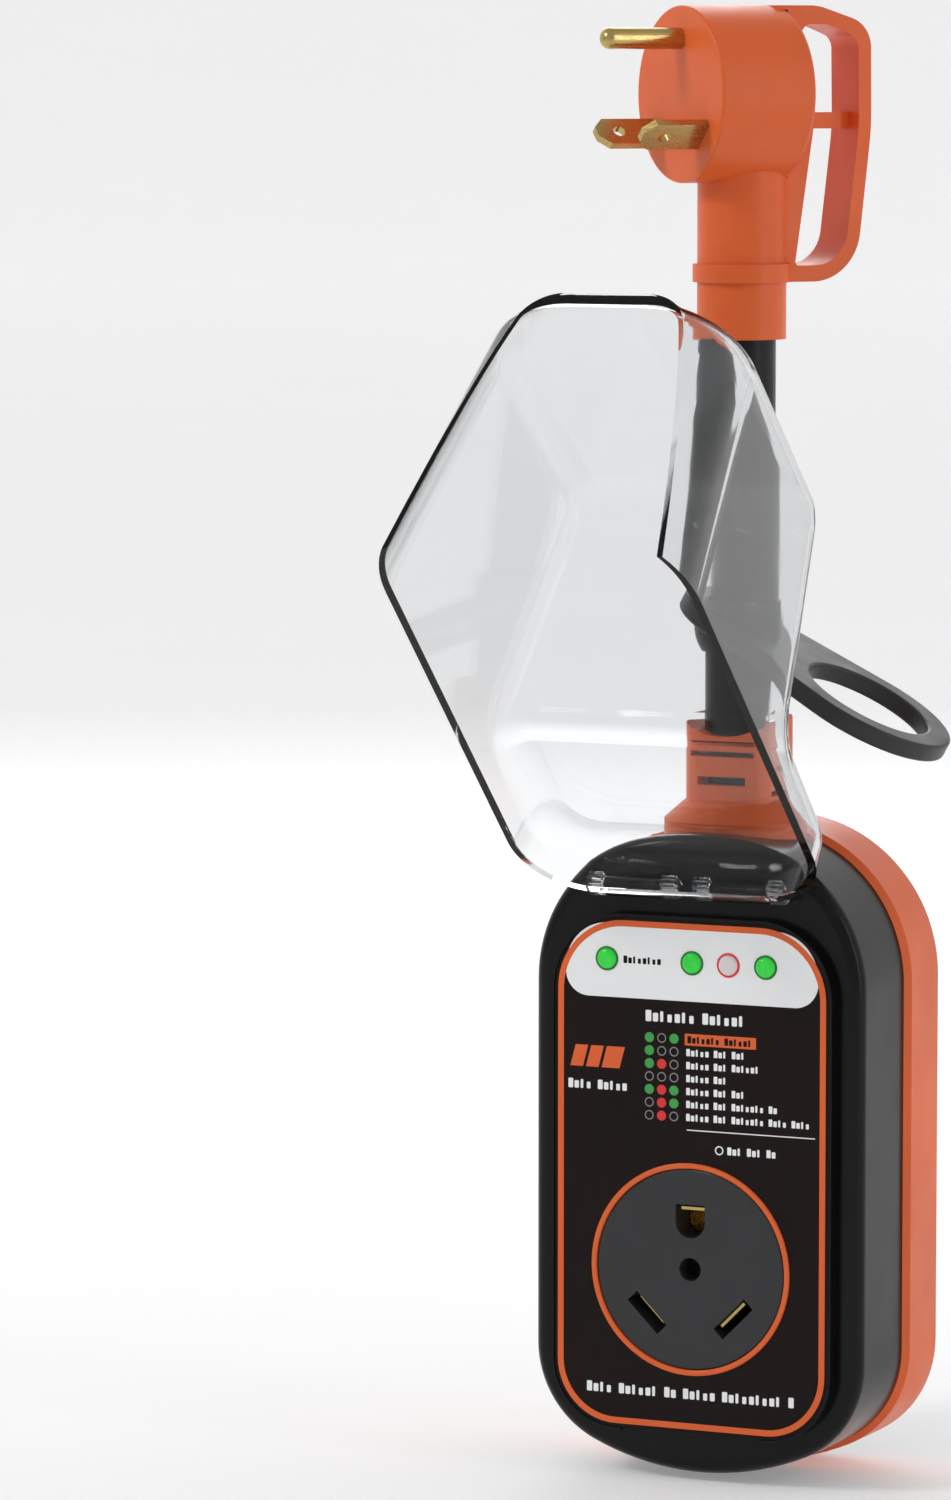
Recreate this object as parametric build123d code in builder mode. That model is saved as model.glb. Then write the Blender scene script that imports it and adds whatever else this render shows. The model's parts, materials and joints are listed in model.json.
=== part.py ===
"""Surge protector plug for a caravan: a wall-mounted box that hangs from its own plug.

The frame has +Z up, +Y to the back, and its origin at the centre of the back cover's
flat outer face. The box's front faces -Y. Sizes are in millimetres and degrees.
Heights "from the back" are distances forward of the back cover's outer face.
"""

import os
from math import asin, cos, degrees, radians, sin

from build123d import *

# Housing outline, seen from the front
face_half_width = 39.2
face_half_height = 74.15
top_arc_radius, top_corner_radius = 60.0, 33.0
bottom_arc_radius, bottom_corner_radius = 64.0, 22.0
front_grow = 3.3  # the front housing's side stands this far outside its flat face
mid_grow = 4.8  # and the middle housing's this far
cover_grow = 4.3

# Housing layers, from the back
wall = 2.2
cover_depth = 2.5
split_depth = 21.0
face_depth = 48.0
platform_height = 2.4
label_thickness = 0.6
ridge_height = 1.0
platform_depth = face_depth + platform_height
label_depth = platform_depth + label_thickness

# Label, on the raised platform
label_half_width = 35.6
label_bottom, label_top = -66.9, 56.9
label_top_radius, label_bottom_radius = 18.0, 16.0
platform_margin = 0.7
ridge_gap = 36.0

# Indicator strip
lens_xs = (-21.9, 0.2, 9.6, 19.2)
lens_z = 46.6
lens_radius = 2.5
window_half_width, window_bottom, window_top = 32.7, 37.3, 55.3

# Outlet
outlet_z = -27.2
outlet_radius = 24.3
trim_radius = 25.7
flange_radius = 29.0
prong_half_spacing = 11.2
slot_drop, ground_rise = 11.2, 11.4
slot_length, slot_width = 11.0, 3.4
base_back = 24.0
base_radius = 22.0

# Screws
boss_points = ((29.0, 50.0), (-29.0, 50.0), (28.0, -58.0), (-28.0, -58.0))
boss_radius, pilot_radius, screw_radius, head_radius = 3.6, 1.25, 1.25, 3.0

# Cable and strain relief, on a vertical axis
cable_y = -21.7
cable_radius = 8.25
wire_radius, wire_offset = 2.3, 4.2
cable_bottom, cable_top = 66.0, 232.0
neck_hole_radius = 9.4
relief_top = 104.1
relief_width, relief_corner = 22.0, 5.5

# Plug head, turned about the cable's axis
plug_z = 252.35
plug_turn = 37.6
head_radius_plug = 21.1
head_front, head_back = 17.1, -8.7
plug_face_thickness = 2.2
pocket_radius, pocket_back, carrier_back = 17.5, -6.4, 7.5
blade_width, blade_thickness, blade_length = 8.2, 1.8, 16.6
blade_drop, pin_rise = 9.4, 13.2
pin_radius, pin_root_radius, pin_length = 2.55, 2.0, 21.2
tail_back = 3.5
sleeve_radius, sleeve_bottom = 10.7, 194.0
collar_radius, collar_bottom, collar_top = 11.8, 207.6, 212.0
handle_width = 13.0

# Hinge and clear hood
hinge_z = 64.15
hinge_stand = 4.5
hinge_radius = 2.2
hinge_pin_radius = 1.0
barrel_span = (6.3, 21.1)
lug_spans = ((2.3, 6.1), (21.3, 25.1))
open_angle = 134.0
hood_half_width = 39.2
hood_wall = 1.7
hood_taper = 5.5

# Lock plate, tilted on the cable
lock_z = 124.75
lock_tilt = 29.0
lock_thickness = 4.5
lock_small_radius, lock_cable_hole = 15.3, 11.0
lock_large_radius, lock_hole_radius = 22.0, 15.8
lock_length = 37.0
bush_radius, bush_half_height = 10.9, 6.0

colours = {}


def front(depth):
    """The plane facing the front, at a distance from the back face."""
    return Plane.XZ.offset(depth)


def housing_outline(grow, mode=Mode.ADD):
    """The housing's outline: straight sides, shallow end arcs and tangent corners."""
    top_turn = degrees(
        asin((face_half_width - top_corner_radius) / (top_arc_radius - top_corner_radius))
    )
    bottom_turn = degrees(
        asin(
            (face_half_width - bottom_corner_radius)
            / (bottom_arc_radius - bottom_corner_radius)
        )
    )
    top_z = face_half_height - top_arc_radius
    top_z += (top_arc_radius - top_corner_radius) * cos(radians(top_turn))
    bottom_z = bottom_arc_radius - face_half_height
    bottom_z -= (bottom_arc_radius - bottom_corner_radius) * cos(radians(bottom_turn))
    side = face_half_width + grow
    with BuildLine() as outline:
        right = Line((side, bottom_z), (side, top_z))
        turn = JernArc(right @ 1, right % 1, top_corner_radius + grow, 90 - top_turn)
        turn = JernArc(turn @ 1, turn % 1, top_arc_radius + grow, 2 * top_turn)
        turn = JernArc(turn @ 1, turn % 1, top_corner_radius + grow, 90 - top_turn)
        left = Line(turn @ 1, (-side, bottom_z))
        turn = JernArc(left @ 1, left % 1, bottom_corner_radius + grow, 90 - bottom_turn)
        turn = JernArc(turn @ 1, turn % 1, bottom_arc_radius + grow, 2 * bottom_turn)
        JernArc(turn @ 1, turn % 1, bottom_corner_radius + grow, 90 - bottom_turn)
    make_face(outline.edges(), mode=mode)


def label_outline(grow, mode=Mode.ADD):
    """The label's outline, with larger corners at the top."""
    side, low, high = label_half_width + grow, label_bottom - grow, label_top + grow
    small, large = label_bottom_radius + grow, label_top_radius + grow
    with BuildLine() as outline:
        upper = FilletPolyline((-side, 0), (-side, high), (side, high), (side, 0), radius=large)
        FilletPolyline(upper @ 1, (side, low), (-side, low), upper @ 0, radius=small)
    make_face(outline.edges(), mode=mode)


def window_outline(grow, mode=Mode.ADD):
    """The indicator strip's outline, following the label's top corners."""
    side, low, high = window_half_width + grow, window_bottom - grow, window_top + grow
    middle = low + 6.5 + grow
    with BuildLine() as outline:
        upper = FilletPolyline(
            (-side, middle), (-side, high), (side, high), (side, middle), radius=11.0 + grow
        )
        FilletPolyline(upper @ 1, (side, low), (-side, low), upper @ 0, radius=6.0 + grow)
    make_face(outline.edges(), mode=mode)


def save(part, name):
    """Labels a finished part and writes it as one STEP file."""
    part.part.label = name
    export_step(part.part, f"parts/{name}.step")


os.makedirs("parts", exist_ok=True)

# ---------------------------------------------------------------- housing

with BuildPart() as front_housing:
    with BuildSketch(front(split_depth)):
        housing_outline(front_grow)
    extrude(amount=face_depth - split_depth)
    fillet(front_housing.edges().group_by(Axis.Y)[0], radius=front_grow - 0.05)
    with BuildSketch(front(face_depth)):
        label_outline(platform_margin)
    extrude(amount=platform_height)
    with BuildSketch(front(platform_depth)):
        label_outline(platform_margin)
        label_outline(0.05, mode=Mode.SUBTRACT)
        with Locations((0, label_bottom)):
            Rectangle(ridge_gap, 4.0, mode=Mode.SUBTRACT)
    extrude(amount=ridge_height)
    with BuildSketch(front(split_depth)):
        housing_outline(front_grow - wall)
    extrude(amount=face_depth - wall - split_depth, mode=Mode.SUBTRACT)
    with BuildSketch(front(split_depth)):
        with Locations(*boss_points):
            Circle(boss_radius)
    extrude(amount=face_depth - wall - split_depth)
    with BuildSketch(front(split_depth)):
        with Locations(*boss_points):
            Circle(pilot_radius)
    extrude(amount=16.0, mode=Mode.SUBTRACT)
    with BuildSketch(front(face_depth - wall)):
        with Locations((0, outlet_z)):
            Circle(outlet_radius)
        with Locations(*[(x, lens_z) for x in lens_xs]):
            Circle(lens_radius)
    extrude(amount=wall + platform_height, mode=Mode.SUBTRACT)
    with BuildSketch(Plane.XY.offset(cable_bottom)):
        with Locations((0, cable_y)):
            Circle(neck_hole_radius)
    extrude(amount=20.0, mode=Mode.SUBTRACT)
    with BuildSketch(Plane.YZ.offset(barrel_span[0])):
        with Locations((-face_depth - hinge_stand, hinge_z)):
            Circle(hinge_radius)
        with Locations((-face_depth - hinge_stand / 2, hinge_z)):
            Rectangle(hinge_stand, 3.0)
        with Locations((-face_depth - hinge_stand, hinge_z)):
            Circle(hinge_pin_radius, mode=Mode.SUBTRACT)
    barrels = extrude(amount=barrel_span[1] - barrel_span[0])
    mirror(barrels, about=Plane.YZ)
save(front_housing, "front_housing")

with BuildPart() as mid_housing:
    with BuildSketch(front(cover_depth)):
        housing_outline(mid_grow)
    extrude(amount=split_depth - cover_depth)
    chamfer(mid_housing.edges().group_by(Axis.Y)[0], length=mid_grow - front_grow)
    with BuildSketch(front(cover_depth)):
        housing_outline(mid_grow - wall - 0.2)
    extrude(amount=split_depth - cover_depth, mode=Mode.SUBTRACT)
    with BuildSketch(Plane.XY.offset(cable_bottom)):
        with Locations((0, cable_y)):
            Circle(neck_hole_radius)
    extrude(amount=20.0, mode=Mode.SUBTRACT)
save(mid_housing, "mid_housing")

with BuildPart() as back_cover:
    with BuildSketch(front(0)):
        housing_outline(cover_grow)
    extrude(amount=cover_depth)
    fillet(back_cover.edges().group_by(Axis.Y)[-1], radius=1.4)
    with BuildSketch(front(cover_depth)):
        with Locations(*boss_points):
            Circle(boss_radius)
    extrude(amount=split_depth - cover_depth)
    with BuildSketch(front(0)):
        with Locations(*boss_points):
            Circle(screw_radius + 0.3)
    extrude(amount=split_depth, mode=Mode.SUBTRACT)
    with BuildSketch(front(0)):
        with Locations(*boss_points):
            Circle(head_radius + 0.3)
    extrude(amount=cover_depth, mode=Mode.SUBTRACT)
save(back_cover, "back_cover")

with BuildPart() as housing_screws:
    with BuildSketch(front(0.3)):
        with Locations(*boss_points):
            Circle(head_radius)
    extrude(amount=cover_depth - 0.3)
    with BuildSketch(front(cover_depth)):
        with Locations(*boss_points):
            Circle(screw_radius)
    extrude(amount=32.0)
    for turn in (0, 90):
        with BuildSketch(front(0.3)):
            with Locations(*boss_points):
                Rectangle(3.2, 0.8, rotation=turn)
        extrude(amount=1.2, mode=Mode.SUBTRACT)
save(housing_screws, "housing_screws")

with BuildPart() as housing_seal:
    with BuildSketch(front(split_depth - 2.0)):
        housing_outline(mid_grow - wall - 0.25)
        housing_outline(front_grow - wall + 0.05, mode=Mode.SUBTRACT)
    extrude(amount=2.0)
    with BuildSketch(Plane.XY.offset(cable_bottom)):
        with Locations((0, cable_y)):
            Circle(13.0)
    extrude(amount=20.0, mode=Mode.SUBTRACT)
save(housing_seal, "housing_seal")

# ---------------------------------------------------------------- label and indicators

with BuildPart() as label_panel:
    with BuildSketch(front(platform_depth)):
        label_outline(0.0)
        window_outline(0.0, mode=Mode.SUBTRACT)
        with Locations((0, outlet_z)):
            Circle(trim_radius, mode=Mode.SUBTRACT)
    extrude(amount=label_thickness)
save(label_panel, "label_panel")

with BuildPart() as indicator_window:
    with BuildSketch(front(platform_depth)):
        window_outline(-0.05)
        with Locations(*[(x, lens_z) for x in lens_xs]):
            Circle(lens_radius, mode=Mode.SUBTRACT)
    extrude(amount=label_thickness + 0.05)
save(indicator_window, "indicator_window")


def lens(x):
    """One domed indicator lens, seated in the strip and the housing behind it."""
    with BuildPart() as piece:
        with BuildSketch(front(face_depth)):
            with Locations((x, lens_z)):
                Circle(lens_radius)
        extrude(amount=platform_height + 1.6)
        fillet(piece.edges().group_by(Axis.Y)[0], radius=1.1)
    return piece


lens_names = ("protected_lens", "left_circuit_lens", "middle_circuit_lens", "right_circuit_lens")
for lens_name, lens_x in zip(lens_names, lens_xs):
    save(lens(lens_x), lens_name)

board_depth = 38.0
board_thickness = 1.6
with BuildPart() as indicator_board:
    with BuildSketch(front(board_depth)):
        with Locations((0, lens_z)):
            RectangleRounded(49.0, 12.0, 1.5)
    extrude(amount=board_thickness)
save(indicator_board, "indicator_board")

with BuildPart() as indicator_leds:
    for lens_x in lens_xs:
        with BuildSketch(front(board_depth + board_thickness)):
            with Locations((lens_x, lens_z)):
                Circle(2.4)
        extrude(amount=1.0)
        with BuildSketch(front(board_depth + board_thickness + 1.0)):
            with Locations((lens_x, lens_z)):
                Circle(1.9)
        extrude(amount=6.0)
    fillet(indicator_leds.edges().group_by(Axis.Y)[0], radius=1.7)
save(indicator_leds, "indicator_leds")

# ---------------------------------------------------------------- outlet

slot_places = ((-prong_half_spacing, outlet_z - slot_drop, -45), (prong_half_spacing, outlet_z - slot_drop, 45))
outlet_face_depth = label_depth + 0.2

with BuildPart() as outlet_trim:
    with BuildSketch(front(platform_depth)):
        with Locations((0, outlet_z)):
            Circle(trim_radius)
            Circle(outlet_radius + 0.05, mode=Mode.SUBTRACT)
    extrude(amount=label_thickness + 0.6)
    fillet(outlet_trim.edges().group_by(Axis.Y)[0], radius=0.4)
save(outlet_trim, "outlet_trim")

with BuildPart() as outlet_face:
    with BuildSketch(front(face_depth - wall - 2.4)):
        with Locations((0, outlet_z)):
            Circle(flange_radius)
    extrude(amount=2.4)
    with BuildSketch(front(face_depth - wall)):
        with Locations((0, outlet_z)):
            Circle(outlet_radius)
    extrude(amount=outlet_face_depth - face_depth + wall)
    fillet(outlet_face.edges().group_by(Axis.Y)[0], radius=0.6)
    with BuildSketch(front(face_depth - wall - 2.4)):
        for slot_x, slot_z, slot_turn in slot_places:
            with Locations((slot_x, slot_z)):
                Rectangle(slot_length, slot_width, rotation=slot_turn)
        with Locations((0, outlet_z + ground_rise)):
            Circle(3.8)
        with Locations((0, outlet_z + ground_rise + 2.1)):
            Rectangle(7.6, 4.2)
        with Locations((0, outlet_z)):
            Circle(2.8)
    extrude(amount=12.0, mode=Mode.SUBTRACT)
    with BuildSketch(front(face_depth - wall - 2.4)):
        with Locations((26.8, outlet_z), (-26.8, outlet_z)):
            Circle(1.1)
    extrude(amount=2.4, mode=Mode.SUBTRACT)
save(outlet_face, "outlet_face")

outlet_base_front = face_depth - wall - 2.4
with BuildPart() as outlet_base:
    with BuildSketch(front(base_back)):
        with Locations((0, outlet_z)):
            Circle(base_radius)
    extrude(amount=outlet_base_front - base_back)
    fillet(outlet_base.edges().group_by(Axis.Y)[-1], radius=2.0)
    with BuildSketch(front(base_back + 4.0)):
        for slot_x, slot_z, slot_turn in slot_places:
            with Locations((slot_x, slot_z)):
                Rectangle(12.0, 7.0, rotation=slot_turn)
        with Locations((0, outlet_z + ground_rise)):
            Circle(6.0)
    extrude(amount=outlet_base_front - base_back - 4.0, mode=Mode.SUBTRACT)
    with BuildSketch(front(base_back)):
        for slot_x, slot_z, slot_turn in slot_places:
            with Locations((slot_x, slot_z)):
                Rectangle(4.0, 1.2, rotation=slot_turn)
        with Locations((0, outlet_z + ground_rise)):
            Rectangle(4.0, 1.2)
        with Locations((0, outlet_z)):
            Circle(1.3)
    extrude(amount=outlet_base_front - base_back, mode=Mode.SUBTRACT)
save(outlet_base, "outlet_base")

main_board_back = 10.0
main_board_front = main_board_back + board_thickness


def blade_contact(slot_x, slot_z, slot_turn):
    """A sprung brass clip: two leaves on a foot, with a tail down to the circuit board."""
    foot_depth = base_back + 4.0
    with BuildPart() as piece:
        with BuildSketch(front(foot_depth)):
            with Locations((slot_x, slot_z)):
                Rectangle(9.6, 4.2, rotation=slot_turn)
        extrude(amount=14.5)
        with BuildSketch(front(foot_depth + 0.8)):
            with Locations((slot_x, slot_z)):
                Rectangle(9.6, 2.4, rotation=slot_turn)
        extrude(amount=14.5, mode=Mode.SUBTRACT)
        with BuildSketch(front(main_board_front)):
            with Locations((slot_x, slot_z)):
                Rectangle(3.9, 1.1, rotation=slot_turn)
        extrude(amount=foot_depth - main_board_front)
    return piece


save(blade_contact(*slot_places[0]), "neutral_contact")
save(blade_contact(*slot_places[1]), "line_contact")

with BuildPart() as ground_contact:
    with BuildSketch(front(base_back + 4.0)):
        with Locations((0, outlet_z + ground_rise)):
            Circle(4.6)
    extrude(amount=14.5)
    with BuildSketch(front(base_back + 4.8)):
        with Locations((0, outlet_z + ground_rise)):
            Circle(3.7)
        with Locations((0, outlet_z + ground_rise + 4.0)):
            Rectangle(2.0, 4.0)
    extrude(amount=14.5, mode=Mode.SUBTRACT)
    with BuildSketch(front(main_board_front)):
        with Locations((0, outlet_z + ground_rise)):
            Rectangle(3.9, 1.1)
    extrude(amount=base_back + 4.0 - main_board_front)
save(ground_contact, "ground_contact")

with BuildPart() as outlet_screw:
    with BuildSketch(front(base_back + 1.0)):
        with Locations((0, outlet_z)):
            Circle(1.25)
    extrude(amount=outlet_base_front - base_back - 1.0)
    with BuildSketch(front(outlet_base_front)):
        with Locations((0, outlet_z)):
            Circle(2.6)
    extrude(amount=1.6)
    with BuildSketch(front(outlet_base_front + 0.8)):
        with Locations((0, outlet_z)):
            Rectangle(4.0, 0.7)
    extrude(amount=1.0, mode=Mode.SUBTRACT)
save(outlet_screw, "outlet_screw")

# ---------------------------------------------------------------- circuit inside

with BuildPart() as circuit_board:
    with BuildSketch(front(main_board_back)):
        with Locations((0, -6.0)):
            RectangleRounded(64.0, 92.0, 2.0)
    extrude(amount=board_thickness)
save(circuit_board, "circuit_board")

with BuildPart() as varistors:
    for varistor_x in (-12.0, 0.0, 12.0):
        with BuildSketch(Plane.YZ.offset(varistor_x - 2.2)):
            with Locations((-24.0, 13.0)):
                Circle(10.0)
        extrude(amount=4.4)
        with BuildSketch(front(main_board_front)):
            with Locations((varistor_x, 9.5), (varistor_x, 16.5)):
                Circle(0.5)
        extrude(amount=5.0)
save(varistors, "varistors")

with BuildPart() as filter_capacitor:
    with BuildSketch(front(main_board_front)):
        with Locations((-24.5, 13.0)):
            RectangleRounded(9.0, 18.0, 0.8)
    extrude(amount=15.0)
    fillet(filter_capacitor.edges().group_by(Axis.Y)[0], radius=0.7)
save(filter_capacitor, "filter_capacitor")

with BuildPart() as thermal_fuse:
    with BuildSketch(Plane.XY.offset(6.0)):
        with Locations((24.0, -17.0)):
            Circle(2.2)
    extrude(amount=13.0)
    with BuildSketch(front(main_board_front)):
        with Locations((24.0, 8.0), (24.0, 17.0)):
            Circle(0.5)
    extrude(amount=4.6)
save(thermal_fuse, "thermal_fuse")

terminal_top = 36.0
terminal_xs = (-13.0, 0.0, 13.0)
with BuildPart() as terminal_block:
    with BuildSketch(front(main_board_front)):
        with Locations((0, terminal_top - 5.0)):
            Rectangle(40.0, 10.0)
    extrude(amount=10.0)
    with BuildSketch(front(main_board_front + 7.6)):
        with Locations(*[(x, terminal_top - 5.0) for x in terminal_xs]):
            Circle(3.0)
    extrude(amount=2.4, mode=Mode.SUBTRACT)
save(terminal_block, "terminal_block")

# ---------------------------------------------------------------- strain relief

cable_axis = Axis((0, cable_y, 0), (0, 0, 1))

with BuildPart() as strain_relief:
    with BuildSketch(front(-cable_y)):
        with BuildLine():
            Polyline((0, 70.0), (18.0, 70.0), (18.0, 79.2), (12.6, 84.0), (0, 84.0), close=True)
        make_face()
    revolve(axis=cable_axis)
    fillet(strain_relief.edges().group_by(Axis.Z)[-1], radius=0.8)
    with BuildSketch(Plane.XY.offset(82.0)):
        with Locations((0, cable_y)):
            RectangleRounded(relief_width, relief_width, relief_corner)
    extrude(amount=relief_top - 82.0)
    fillet(strain_relief.edges().group_by(Axis.Z)[-1], radius=1.6)
    with BuildSketch(front(-cable_y - 20.0)):
        with Locations((0, 111.2)):
            Circle(13.0)
    extrude(amount=40.0, mode=Mode.SUBTRACT)
    for grow, low, high in ((mid_grow, 0.0, split_depth), (front_grow, split_depth, face_depth)):
        with BuildSketch(front(low)):
            housing_outline(grow)
        extrude(amount=high - low, mode=Mode.SUBTRACT)
    with BuildSketch(Plane.XY.offset(70.0)):
        with Locations((0, cable_y)):
            Circle(12.0)
    extrude(amount=3.4)
    with BuildSketch(Plane.XY.offset(73.4)):
        with Locations((0, cable_y)):
            Circle(neck_hole_radius)
    extrude(amount=8.0)
    with BuildSketch(Plane.XY.offset(cable_bottom)):
        with Locations((0, cable_y)):
            Circle(cable_radius)
    extrude(amount=60.0, mode=Mode.SUBTRACT)
    for slot_z, slot_high, slot_wide, slot_deep in (
        (95.4, 1.3, 16.5, 6.0),
        (88.9, 2.1, 12.4, 6.0),
    ):
        for side in (-1, 1):
            with Locations((0, cable_y + side * (relief_width / 2 - slot_deep / 2 + 1), slot_z)):
                Box(slot_wide, slot_deep, slot_high, mode=Mode.SUBTRACT)
    for slot_z in (92.2, 85.8):
        for side in (-1, 1):
            with Locations((side * (relief_width / 2 - 2), cable_y, slot_z)):
                Box(6.0, 12.0, 1.3, mode=Mode.SUBTRACT)
save(strain_relief, "strain_relief")

clamp_points = ((10.0, 64.0), (-10.0, 64.0))
with BuildPart() as cable_clamp:
    with BuildSketch(Plane.XY.offset(62.0)):
        with Locations((0, cable_y)):
            RectangleRounded(24.0, 15.0, 1.5)
            Circle(cable_radius - 1.0, mode=Mode.SUBTRACT)
    extrude(amount=4.0)
    with BuildSketch(front(6.0)):
        with Locations(*clamp_points):
            Circle(1.2)
    extrude(amount=30.0, mode=Mode.SUBTRACT)
save(cable_clamp, "cable_clamp")

with BuildPart() as clamp_screws:
    with BuildSketch(front(14.6)):
        with Locations(*clamp_points):
            Circle(1.2)
    extrude(amount=14.6)
    with BuildSketch(front(29.2)):
        with Locations(*clamp_points):
            Circle(2.3)
    extrude(amount=1.6)
save(clamp_screws, "clamp_screws")

# ---------------------------------------------------------------- cable

wire_angles = {"ground_wire": 90.0, "neutral_wire": 210.0, "line_wire": 330.0}
wire_places = {
    name: (wire_offset * cos(radians(angle)), cable_y + wire_offset * sin(radians(angle)))
    for name, angle in wire_angles.items()
}

with BuildPart() as cable_jacket:
    with BuildSketch(Plane.XY.offset(cable_bottom)):
        with Locations((0, cable_y)):
            Circle(cable_radius)
        with Locations(*wire_places.values()):
            Circle(wire_radius + 0.05, mode=Mode.SUBTRACT)
    extrude(amount=cable_top - cable_bottom)
save(cable_jacket, "cable_jacket")

toward_face = Vector(-sin(radians(plug_turn)), -cos(radians(plug_turn)), 0)
across = Vector(cos(radians(plug_turn)), -sin(radians(plug_turn)), 0)
head_plane = Plane(origin=(0, cable_y, plug_z), x_dir=across, z_dir=toward_face)
side_plane = Plane(origin=(0, cable_y, plug_z), x_dir=-toward_face, z_dir=across)

wire_ends = {
    "ground_wire": (terminal_xs[1], (0.0, pin_rise)),
    "neutral_wire": (terminal_xs[0], (-prong_half_spacing, -blade_drop)),
    "line_wire": (terminal_xs[2], (prong_half_spacing, -blade_drop)),
}
for wire_name, (terminal_x, (tail_x, tail_y)) in wire_ends.items():
    wire_x, wire_y = wire_places[wire_name]
    tail = head_plane.from_local_coords(Vector(tail_x, tail_y, tail_back))
    with BuildPart() as wire:
        with BuildLine() as route:
            FilletPolyline(
                (terminal_x, -16.5, terminal_top),
                (terminal_x, -16.5, 44.0),
                (wire_x, wire_y, 60.0),
                (wire_x, wire_y, tail.Z),
                tail,
                radius=[3.5, 6.0, 3.0],
            )
        with BuildSketch(Plane(origin=(terminal_x, -16.5, terminal_top), z_dir=(0, 0, 1))):
            Circle(wire_radius)
        sweep()
    save(wire, wire_name)

# ---------------------------------------------------------------- plug

with BuildPart() as plug_body:
    with BuildSketch(head_plane.offset(head_back)):
        Circle(head_radius_plug)
    extrude(amount=head_front - plug_face_thickness - head_back)
    rear_edge = plug_body.edges().sort_by(Axis(head_plane.origin, toward_face))[0]
    fillet(rear_edge, radius=1.6)
    with BuildSketch(Plane.XY.offset(sleeve_bottom)):
        with Locations((0, cable_y)):
            Circle(sleeve_radius)
    extrude(amount=plug_z - sleeve_bottom)
    with BuildSketch(Plane.XY.offset(collar_bottom)):
        with Locations((0, cable_y)):
            Circle(collar_radius)
    extrude(amount=collar_top - collar_bottom)
    with BuildSketch(head_plane.offset(pocket_back)):
        Circle(pocket_radius)
    extrude(amount=head_front - pocket_back, mode=Mode.SUBTRACT)
    with BuildSketch(Plane.XY.offset(sleeve_bottom)):
        with Locations((0, cable_y)):
            Circle(cable_radius)
    extrude(amount=plug_z - sleeve_bottom - 8.0, mode=Mode.SUBTRACT)
save(plug_body, "plug_body")


def prong_holes(pin_hole_radius):
    """The two slanted blade slots and the round pin hole, in the sketch being built."""
    for side in (-1, 1):
        with Locations((side * prong_half_spacing, -blade_drop)):
            Rectangle(blade_width, blade_thickness, rotation=side * 45, mode=Mode.SUBTRACT)
    with Locations((0, pin_rise)):
        Circle(pin_hole_radius, mode=Mode.SUBTRACT)


with BuildPart() as plug_face:
    with BuildSketch(head_plane.offset(head_front - plug_face_thickness)):
        Circle(head_radius_plug)
        prong_holes(pin_radius)
    extrude(amount=plug_face_thickness)
    outer_edges = plug_face.edges().filter_by(GeomType.CIRCLE).sort_by(SortBy.RADIUS)[-2:]
    fillet(outer_edges.sort_by(Axis(head_plane.origin, toward_face))[-1], radius=0.7)
save(plug_face, "plug_face")

with BuildPart() as prong_carrier:
    with BuildSketch(head_plane.offset(carrier_back)):
        Circle(pocket_radius)
        prong_holes(pin_root_radius)
    extrude(amount=head_front - plug_face_thickness - carrier_back)
save(prong_carrier, "prong_carrier")


def blade(side):
    """A flat brass blade set at 45 degrees, with clipped tip corners and a cross hole."""
    tip = head_front + blade_length
    centre = head_plane.from_local_coords(Vector(side * prong_half_spacing, -blade_drop, 0))
    broad = (across + Vector(0, 0, side)).normalized()
    flat = Plane(origin=centre, x_dir=broad, z_dir=broad.cross(toward_face))
    with BuildPart() as piece:
        with BuildSketch(flat):
            with BuildLine():
                half = blade_width / 2
                Polyline(
                    (-half, tail_back),
                    (half, tail_back),
                    (half, tip - 2.6),
                    (half - 2.6, tip),
                    (2.6 - half, tip),
                    (-half, tip - 2.6),
                    close=True,
                )
            make_face()
            with Locations((0, tip - 6.0)):
                Circle(1.6, mode=Mode.SUBTRACT)
        extrude(amount=blade_thickness / 2, both=True)
    return piece


save(blade(-1), "neutral_blade")
save(blade(1), "line_blade")

with BuildPart() as ground_pin:
    with BuildSketch(head_plane.offset(tail_back)):
        with Locations((0, pin_rise)):
            Circle(pin_root_radius)
    extrude(amount=head_front - tail_back)
    with BuildSketch(head_plane.offset(head_front)):
        with Locations((0, pin_rise)):
            Circle(pin_radius)
    extrude(amount=pin_length)
    tip_edge = ground_pin.edges().sort_by(Axis(head_plane.origin, toward_face))[-1]
    fillet(tip_edge, radius=pin_radius - 0.35)
save(ground_pin, "ground_pin")

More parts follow.
